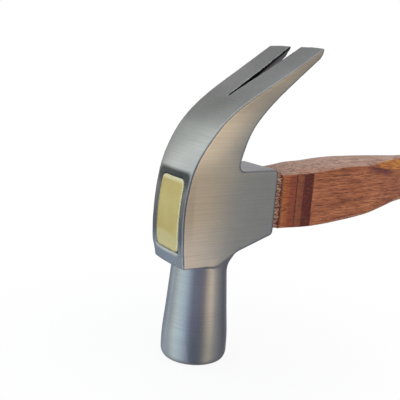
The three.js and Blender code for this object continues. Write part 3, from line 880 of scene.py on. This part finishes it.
def srgb(r, g, b):
    """Linear colour from 0-255 display values above the straight foot of the curve."""
    return tuple(((c / 255 + 0.055) / 1.055) ** 2.4 for c in (r, g, b))


def colour_ramp(g, factor, tones):
    """Linear blend through (position, linear colour) pairs, positions growing from 0 to 1."""
    ramp = g.add("ShaderNodeValToRGB")
    stops = ramp.color_ramp.elements
    stops.remove(stops[1])
    stops[0].position, stops[0].color = tones[0][0], rgba(tones[0][1])
    for position, tone in tones[1:]:
        stops.new(position).color = rgba(tone)
    g.feed(ramp.inputs[0], factor)
    return ramp.outputs[0]


def dress(piece, graph):
    """Gives a piece the graph's material and no other."""
    piece.data.materials.clear()
    piece.data.materials.append(graph.material)


# ---------- materials
def forged_steel():
    """Brushed steel: fine level lines, soft clouds, painted reflection and highlight on the
    cheeks, painted shade round the eye and in the slot, and a painted brightening low on the bell.
    """
    g = MaterialGraph("forged_steel")
    x, y, z = (g.axis(a) for a in "XYZ")
    lines = g.noise((0.03, 0.03, 4.2), 3, 0.6)
    fine = g.noise((0.12, 0.12, 13.0), 2, 0.5)
    cloud = g.noise((0.06, 0.06, 0.06), 4, 0.6)
    tone = g.mix(g.band(cloud, 0.3, 0.7), srgb(198, 199, 199), srgb(208, 209, 208))
    tone = g.mix(g.band(lines, 0.40, 0.72, 0.0, 0.30), tone, srgb(176, 175, 175))
    tone = g.mix(1.0, tone, cheek_painted_light(g, z), "MULTIPLY")
    # painted light: the bell is made brighter towards its striking face
    tone = g.mix(g.band(z, 22.0, 9.0), tone, (1.13, 1.13, 1.12), "MULTIPLY")
    tone = g.mix(g.band(z, 118, 130), tone, (0.80, 0.80, 0.80), "MULTIPLY")
    # painted shade on the bevel round the eye, darkest over its top
    bezel_painted_shade = g.mix(g.band(z, 72, 78), srgb(122, 118, 118), srgb(54, 54, 54))
    tone = g.mix(bezel_shade_mask(g, x, y, z), tone, bezel_painted_shade)
    # painted shade in the nail slot
    tone = g.mix(slot_mask(g, y, z), tone, slot_painted_shade(g))
    rough = g.math("ADD", g.band(lines, 0.3, 0.7, 0.20, 0.28), g.band(cloud, 0.3, 0.7, 0.0, 0.04))
    rough = g.math("ADD", rough, g.band(z, 18, 8, 0.0, 0.10))
    height = g.math("ADD", lines, g.product(fine, 0.4))
    height = g.product(height, g.band(z, 40, 46, 0.4, 1.0))
    tangent = g.add("ShaderNodeCombineXYZ")
    tangent.inputs[0].default_value, tangent.inputs[2].default_value = 0.05, 1.0
    g.set(Base_Color=tone, Metallic=1.0, Roughness=rough, Normal=g.bump(height, 0.008, 0.5),
          Anisotropic=0.85, Tangent=tangent.outputs[0])
    return g


def painted_light_attribute(g):
    """Mask of painted reflection and painted slot shade, stored on the head's vertices."""
    return g.add("ShaderNodeAttribute", attribute_name="painted_light").outputs["Fac"]


def cheek_painted_light(g, z):
    """Painted light on the sides of the head: a warm, bright painted reflection behind the front
    edge that turns grey towards the collar, a painted highlight above the eye and painted shade on
    the edge beside it.
    """
    turned = g.math("ABSOLUTE", g.facing("Y"))
    # painted highlight on the sides between heights 78 and 112, strongest from 90 to 98
    side_painted_highlight = g.product(g.band(z, 78, 90), g.band(z, 112, 98))
    front = g.mix(g.band(z, 66, 47), (0.78, 0.70, 0.62), (0.98, 0.93, 0.93))
    bright = g.mix(side_painted_highlight, front, (1.18, 1.06, 0.92))
    # painted reflection: warm and bright behind the front edge, grey towards the collar
    tint = g.mix(painted_light_attribute(g), (0.54, 0.565, 0.60), bright)
    tint = g.mix(g.band(turned, 0.6, 0.85), (1.0, 1.0, 1.0), tint)
    # painted shade on the rounded edge between the front and the cheeks beside the eye
    edge = g.product(g.band(turned, 0.20, 0.40), g.band(turned, 0.96, 0.80))
    beside_eye = g.product(g.band(z, 92, 84), g.band(z, 43.6, 45.0))
    return g.mix(g.product(edge, beside_eye), tint, (0.60, 0.57, 0.62))


def bezel_shade_mask(g, x, y, z):
    """Ring of painted shade round the eye on the front: darkest over the top, faint at the bottom.
    """
    middle, half_height = 63.2, 14.6
    reach_y = g.math("SUBTRACT", g.math("ABSOLUTE", y), EYE_HALF_WIDTH[0])
    from_middle = g.math("ABSOLUTE", g.math("SUBTRACT", z, middle))
    reach_z = g.math("SUBTRACT", from_middle, half_height)
    reach = g.math("SMOOTH_MAX", reach_y, reach_z, 4.0)
    width = g.band(z, 70, 79, 3.6, 3.5)
    ring = g.band(g.math("DIVIDE", reach, width), 1.30, 0.70)
    return g.product(ring, g.band(z, 46.0, 56, 0.0, 0.92), g.band(x, -11.5, -13.0))


def slot_mask(g, y, z):
    """Walls and bevels of the nail slot."""
    sideways = g.band(g.math("ABSOLUTE", g.facing("Y")), 0.35, 0.6)
    inside = g.band(g.math("ABSOLUTE", y), 6.5, 5.5)
    return g.product(sideways, inside, g.band(z, 100, 102))


def slot_painted_shade(g):
    """Painted shade in the slot: near black on its edges, mid grey on the bevels and walls under
    them.
    """
    return g.mix(painted_light_attribute(g), srgb(134, 134, 137), srgb(38, 38, 40))


BAND_START, BAND_END = 28.0, 51.0
BAND_TONES = [(28.0, (106, 72, 60)), (31.8, (100, 66, 50)), (33.2, (140, 94, 60)),
              (33.9, (174, 100, 48)), (36.4, (160, 84, 46)), (37.2, (144, 70, 46)),
              (40.5, (134, 64, 42)), (40.7, (84, 34, 26)), (41.1, (84, 34, 26)),
              (41.4, (140, 76, 48)), (44.7, (126, 66, 44)), (45.0, (92, 28, 22)),
              (50.1, (88, 26, 20)), (50.5, (160, 98, 60))]


def band_tones(g, x):
    """Cross bands of darker and lighter wood that lie on the side faces next to the collar."""
    tones = [((at - BAND_START) / (BAND_END - BAND_START), srgb(*tone)) for at, tone in BAND_TONES]
    return colour_ramp(g, g.band(x, BAND_START, BAND_END, smooth=False), tones)


def handle_wood():
    """Red-brown open-pored wood: bands by the collar, torn fibres at its edge, varnished grip, a
    painted sheen on the top faces, a painted warm reflection on the varnished chamfers and a
    painted shadow under their start.
    """
    g = MaterialGraph("handle_wood")
    x, y, z = (g.axis(a) for a in "XYZ")
    sideways, upward = g.math("ABSOLUTE", g.facing("Y")), g.facing("Z")
    side, top = g.band(sideways, 0.80, 0.93), g.band(upward, 0.72, 0.90)
    grain = g.noise((0.05, 0.9, 0.9), 5, 0.65, 0.6)
    dashes = g.noise((0.12, 3.2, 3.2), 3, 0.6, 0.3)
    fine = g.noise((0.16, 4.2, 4.2), 2, 0.6)
    flecks = g.noise((0.40, 3.6, 3.6), 2, 0.6, 0.2)
    broad = g.noise((0.02, 0.12, 0.12), 3, 0.5, 0.4)
    tone = g.mix(g.band(broad, 0.32, 0.68), srgb(190, 120, 80), srgb(164, 94, 60))
    tone = g.mix(g.band(grain, 0.42, 0.68, 0.0, 0.8), tone, srgb(130, 68, 46))
    uneven_x = g.math("ADD", x, g.product(g.math("SUBTRACT", dashes, 0.5), 1.6))
    near_collar = g.product(g.band(uneven_x, 50.6, 50.3), side)
    tone = g.mix(near_collar, tone, band_tones(g, uneven_x))
    # painted sheen: the upward faces are made paler and greyer
    tone = g.mix(g.product(top, 0.68), tone, srgb(196, 172, 156))
    pores = g.math("MAXIMUM", g.band(dashes, 0.57, 0.61, 0.0, 0.85),
                   g.band(fine, 0.55, 0.60, 0.0, 0.68))
    tone = g.mix(pores, tone, srgb(86, 38, 28))
    tone = g.mix(g.band(flecks, 0.57, 0.68, 0.0, 0.20), tone, srgb(214, 150, 104))
    tone = g.mix(chamfer_shadow(g, x, z, side), tone, srgb(92, 40, 46))
    # varnished chamfers: lower roughness, and a painted warm reflection in honey tones
    varnish_and_painted_reflection = g.product(g.band(x, 88, 97), g.band(sideways, 0.90, 0.80),
                        g.band(g.math("ABSOLUTE", upward), 0.86, 0.78))
    chamfer_painted_reflection = g.mix(g.band(dashes, 0.40, 0.60), srgb(198, 134, 52), srgb(146, 72, 38))
    tone = g.mix(g.product(varnish_and_painted_reflection, 0.9), tone, chamfer_painted_reflection)
    tone = g.mix(torn_line(g, x, y), tone, srgb(100, 34, 28))
    tone = g.mix(torn_teeth(g, x), tone, srgb(220, 180, 152))
    height = g.math("SUBTRACT", g.product(grain, 0.5), pores)
    g.set(Base_Color=tone, Roughness=g.band(varnish_and_painted_reflection, 0, 1, 0.50, 0.30),
          Normal=g.bump(height, 0.07, 0.6), Specular_IOR_Level=0.3,
          Coat_Weight=g.band(x, 80, 110, 0.0, 0.35), Coat_Roughness=0.25)
    return g


def chamfer_shadow(g, x, z, side):
    """Painted shadow: darker wood colour just under the edge where the chamfers begin."""
    edge = g.band(x, 88, 98, 80.2, 78.8, smooth=False)
    below = g.band(g.math("SUBTRACT", edge, z), 4.2, 0.4)
    return g.product(below, g.band(x, 82, 89), g.band(x, 103, 96), side, 0.85)


def torn_line(g, x, y):
    """Jagged dark line where the fibres broke, about three millimetres from the collar."""
    jag = g.noise((0.1, 0.1, 0.85), 2, 0.8)
    at = g.math("ADD", 32.1, g.product(g.math("SUBTRACT", jag, 0.5), 2.6))
    away = g.math("ABSOLUTE", g.math("SUBTRACT", x, at))
    width = g.band(g.noise((0.1, 0.1, 1.6), 1), 0.35, 0.65, 0.40, 0.85)
    side = g.band(g.math("ABSOLUTE", y), 8.2, 8.8)
    return g.product(g.band(g.math("DIVIDE", away, width), 1.3, 0.8), side)


def torn_teeth(g, x):
    """Pale ends of torn fibres between the collar and the broken line."""
    teeth = g.band(g.noise((0.40, 1.7, 1.7), 2, 0.7), 0.48, 0.56)
    return g.product(g.band(x, 32.5, 31.8), teeth, 0.55)


def eye_resin():
    """Poured resin: warm yellow, paler towards the bottom, with a painted highlight along its near
    and top rim.
    """
    g = MaterialGraph("eye_resin")
    y, z = g.axis("Y"), g.axis("Z")
    cloud = g.noise((0.12, 0.12, 0.10), 4, 0.6)
    tone = g.mix(g.band(cloud, 0.3, 0.7), srgb(180, 158, 86), srgb(186, 168, 102))
    low_line = g.math("ADD", z, g.product(cloud, 4.0))
    tone = g.mix(g.band(low_line, 58.5, 55.5), tone, srgb(192, 178, 122))
    # painted highlight along the near side and the top of the rim
    rim = g.math("MAXIMUM", g.band(y, -6.6, -7.8), g.band(z, 75.6, 77.4))
    tone = g.mix(g.product(rim, 0.55), tone, srgb(226, 222, 184))
    g.set(Base_Color=tone, Roughness=0.38, Normal=g.bump(cloud, 0.1, 0.3))
    return g


def wedge_steel():
    """Dull sheared steel of the two small wedges."""
    g = MaterialGraph("wedge_steel")
    cloud = g.noise((0.4, 0.4, 0.4), 4, 0.6)
    g.set(Base_Color=g.mix(cloud, srgb(110, 112, 116), srgb(150, 150, 150)), Metallic=1.0,
          Roughness=g.band(cloud, 0.3, 0.7, 0.35, 0.55), Normal=g.bump(cloud, 0.05, 0.4))
    return g


def wedge_wood():
    """Pale straight-grained hardwood of the long wedge."""
    g = MaterialGraph("wedge_wood")
    grain = g.noise((0.08, 2.0, 0.8), 4, 0.6, 0.4)
    g.set(Base_Color=g.mix(g.band(grain, 0.35, 0.7), srgb(205, 164, 110), srgb(168, 120, 74)),
          Roughness=0.7, Normal=g.bump(grain, 0.05, 0.5))
    return g


# ---------- pieces
for piece, graph, node, slot in ((build_head(), forged_steel(), "hammer_head", "forged_steel"),
                                 (build_handle(), handle_wood(), "handle", "handle_wood"),
                                 (build_resin(), eye_resin(), "eye_resin", "eye_resin")):
    dress(piece, graph)
    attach(piece, "root")
    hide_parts(node)

dress(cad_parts["wooden_wedge"], wedge_wood())
steel_wedges = wedge_steel()
for name in ("cross_wedge_upper", "cross_wedge_lower"):
    dress(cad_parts[name], steel_wedges)

# ---------- stage
# Direction round Z in degrees from +X, and colour, of the soft cards that light the hammer.
UPPER_CARDS = [(0, (.17, .17, .20)), (16, (.22, .22, .25)), (34, (.38, .37, .40)),
               (60, (.46, .45, .47)), (84, (.26, .26, .25)), (100, (.33, .35, .34)),
               (110, (.67, .69, .67)), (122, (.94, .99, .96)), (132, (.78, .82, .82)),
               (146, (.72, .78, .79)), (162, (.70, .80, .84)), (178, (.62, .76, .84)),
               (194, (.52, .63, .74)), (208, (.34, .40, .51)), (222, (.20, .22, .29)),
               (250, (.19, .20, .26)), (264, (.26, .25, .26)), (276, (.54, .48, .43)),
               (292, (.86, .75, .61)), (304, (.80, .74, .63)), (318, (.62, .60, .54)),
               (334, (.36, .36, .37))]
LOWER_CARDS = [(0, (.25, .25, .29)), (60, (.30, .30, .32)), (100, (.27, .32, .40)),
               (116, (.31, .39, .50)), (132, (.26, .31, .38)), (142, (.42, .47, .49)),
               (162, (.69, .80, .83)), (178, (.64, .79, .88)), (194, (.54, .66, .77)),
               (208, (.37, .45, .59)), (222, (.26, .29, .40)), (250, (.26, .28, .37)),
               (264, (.34, .33, .36)), (276, (.68, .60, .52)), (290, (1.05, .90, .72)),
               (301, (1.0, .84, .66)), (305, (.76, .69, .59)), (310, (.58, .55, .52)),
               (316, (.50, .50, .49)), (324, (.43, .43, .44)), (345, (.31, .31, .34))]
CEILING, GROUND, WHITE = (.62, .64, .66), (.21, .21, .225), (1.0, 1.0, 1.0)
DIFFUSE_GAIN = 2.2


def card_ring(g, azimuth, cards):
    """Colours of the studio cards round the object, blended over the full circle."""
    closed = cards + [(360, cards[0][1])]
    return colour_ramp(g, azimuth, [(angle / 360, tone) for angle, tone in closed])


def build_world():
    """White to the camera; to everything else a ring of soft studio cards under a ceiling."""
    world = bpy.data.worlds.new("studio")
    world.use_nodes = True
    bpy.context.scene.world = world
    g = Graph(world.node_tree)
    flip = g.add("ShaderNodeVectorMath", operation="SCALE")
    g.feed(flip.inputs[0], g.add("ShaderNodeNewGeometry").outputs["Incoming"])
    flip.inputs["Scale"].default_value = -1.0
    ray = flip.outputs[0]
    turn = g.math("ARCTAN2", g.axis("Y", ray), g.axis("X", ray))
    azimuth = g.math("FRACT", g.math("ADD", g.math("DIVIDE", turn, 2 * math.pi), 1.0))
    up = g.axis("Z", ray)
    tone = g.mix(g.band(up, -0.26, -0.07), card_ring(g, azimuth, LOWER_CARDS),
                 card_ring(g, azimuth, UPPER_CARDS))
    tone = g.mix(g.band(up, 0.60, 0.92), tone, CEILING)
    tone = g.mix(g.band(up, -0.62, -0.92), tone, GROUND)
    path = g.add("ShaderNodeLightPath").outputs
    background = g.tree.nodes["Background"]
    g.feed(background.inputs["Color"], g.mix(path["Is Camera Ray"], tone, WHITE))
    g.feed(background.inputs["Strength"], g.band(path["Is Diffuse Ray"], 0, 1, 1.0, DIFFUSE_GAIN))


FLOOR_HALF_SIZE = 9000.0
FLOOR_HEIGHT = -0.05


def build_floor():
    """Pale sheet that fades to white away from the hammer and is left out of reflections."""
    corners = [(-1, -1), (1, -1), (1, 1), (-1, 1)]
    floor = mesh_object("floor", [(FLOOR_HALF_SIZE * x, FLOOR_HALF_SIZE * y, FLOOR_HEIGHT)
                                  for x, y in corners], [[0, 1, 2, 3]])
    g = MaterialGraph("pale_floor")
    cloud = g.noise((0.002, 0.002, 0.002), 2)
    g.set(Base_Color=g.mix(cloud, (0.80, 0.80, 0.80), (0.84, 0.84, 0.84)), Roughness=0.9)
    glow = g.add("ShaderNodeEmission")
    g.feed(glow.inputs["Color"], rgba(WHITE))
    reach = g.add("ShaderNodeVectorMath", operation="LENGTH")
    g.feed(reach.inputs[0], g.place)
    fade = g.band(reach.outputs["Value"], 20 * MM, 150 * MM, 0.90, 1.0)
    seen = g.add("ShaderNodeLightPath").outputs["Is Camera Ray"]
    mixer = g.add("ShaderNodeMixShader")
    g.feed(mixer.inputs[0], g.product(seen, fade))
    g.feed(mixer.inputs[1], g.shader.outputs[0])
    g.feed(mixer.inputs[2], glow.outputs[0])
    g.feed(g.tree.nodes["Material Output"].inputs["Surface"], mixer.outputs[0])
    floor.visible_glossy = False
    dress(floor, g)


CAMERA_PLACE = (-154.0, -227.9, 127.2)
CAMERA_YAW, CAMERA_PITCH, CAMERA_ROLL = 33.72, 12.27, 4.18
CAMERA_LENS, CAMERA_SENSOR = 61.64, 36.0


def build_camera():
    """Looks from the front of the head and its -Y side, from a little above it."""
    data = bpy.data.cameras.new("camera")
    camera = bpy.data.objects.new("camera", data)
    bpy.context.scene.collection.objects.link(camera)
    yaw, pitch, roll = (math.radians(a) for a in (CAMERA_YAW, CAMERA_PITCH, CAMERA_ROLL))
    forward = Vector((math.sin(yaw) * math.cos(pitch), math.cos(yaw) * math.cos(pitch),
                      -math.sin(pitch)))
    level = Vector((math.cos(yaw), -math.sin(yaw), 0))
    right = level * math.cos(roll) + level.cross(forward) * math.sin(roll)
    up = right.cross(forward)
    rotation = Matrix((right, up, -forward)).transposed()
    camera.matrix_world = Matrix.Translation(Vector(CAMERA_PLACE) * MM) @ rotation.to_4x4()
    data.sensor_width, data.lens = CAMERA_SENSOR, CAMERA_LENS
    data.clip_start = 0.01
    bpy.context.scene.camera = camera


build_world()
build_floor()
build_camera()
bpy.context.scene.view_settings.view_transform = "Standard"
